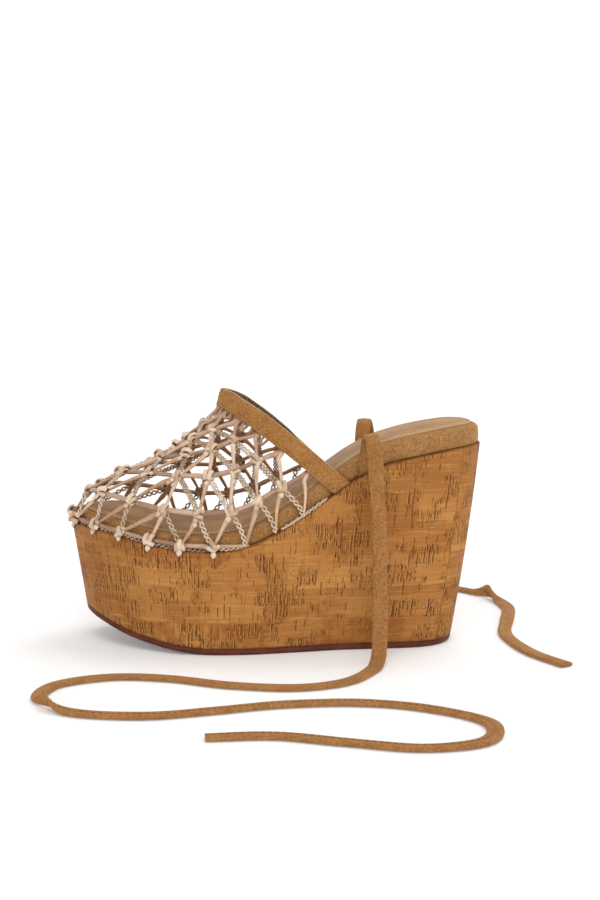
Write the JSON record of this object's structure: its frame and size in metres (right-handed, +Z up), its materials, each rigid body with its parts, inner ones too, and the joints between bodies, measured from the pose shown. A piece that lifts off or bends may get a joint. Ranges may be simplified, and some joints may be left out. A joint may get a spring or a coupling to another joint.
{
  "type": "platform sandal",
  "caption": "High platform sandal with a cork wedge sole, a knotted leather net over the toes, a suede instep band and long ankle ties.",
  "frame": {"origin": "on the floor, under the middle of the shoe's length and width, without the ties", "axes": "+X from toe to heel, +Y towards the inner side of the foot, +Z up"},
  "size_m": [0.2918, 0.3731, 0.1501],
  "materials": {
    "outsole_rubber": "satin red-brown rubber",
    "cork": "matt cork veneer with dark pores",
    "footbed_suede": "napped tan suede",
    "insole_leather": "smooth matt leather",
    "net_leather": "soft matt leather cord",
    "band_suede": "napped tan suede",
    "tie_suede": "napped tan suede"
  },
  "bodies": {
    "root": {"outsole": "outsole_rubber", "cork_wedge": "cork", "footbed": "footbed_suede", "insole": "insole_leather", "vamp_net": "net_leather", "instep_band": "band_suede", "tie_outer": "tie_suede", "tie_inner": "tie_suede"}
  },
  "joints": []
}
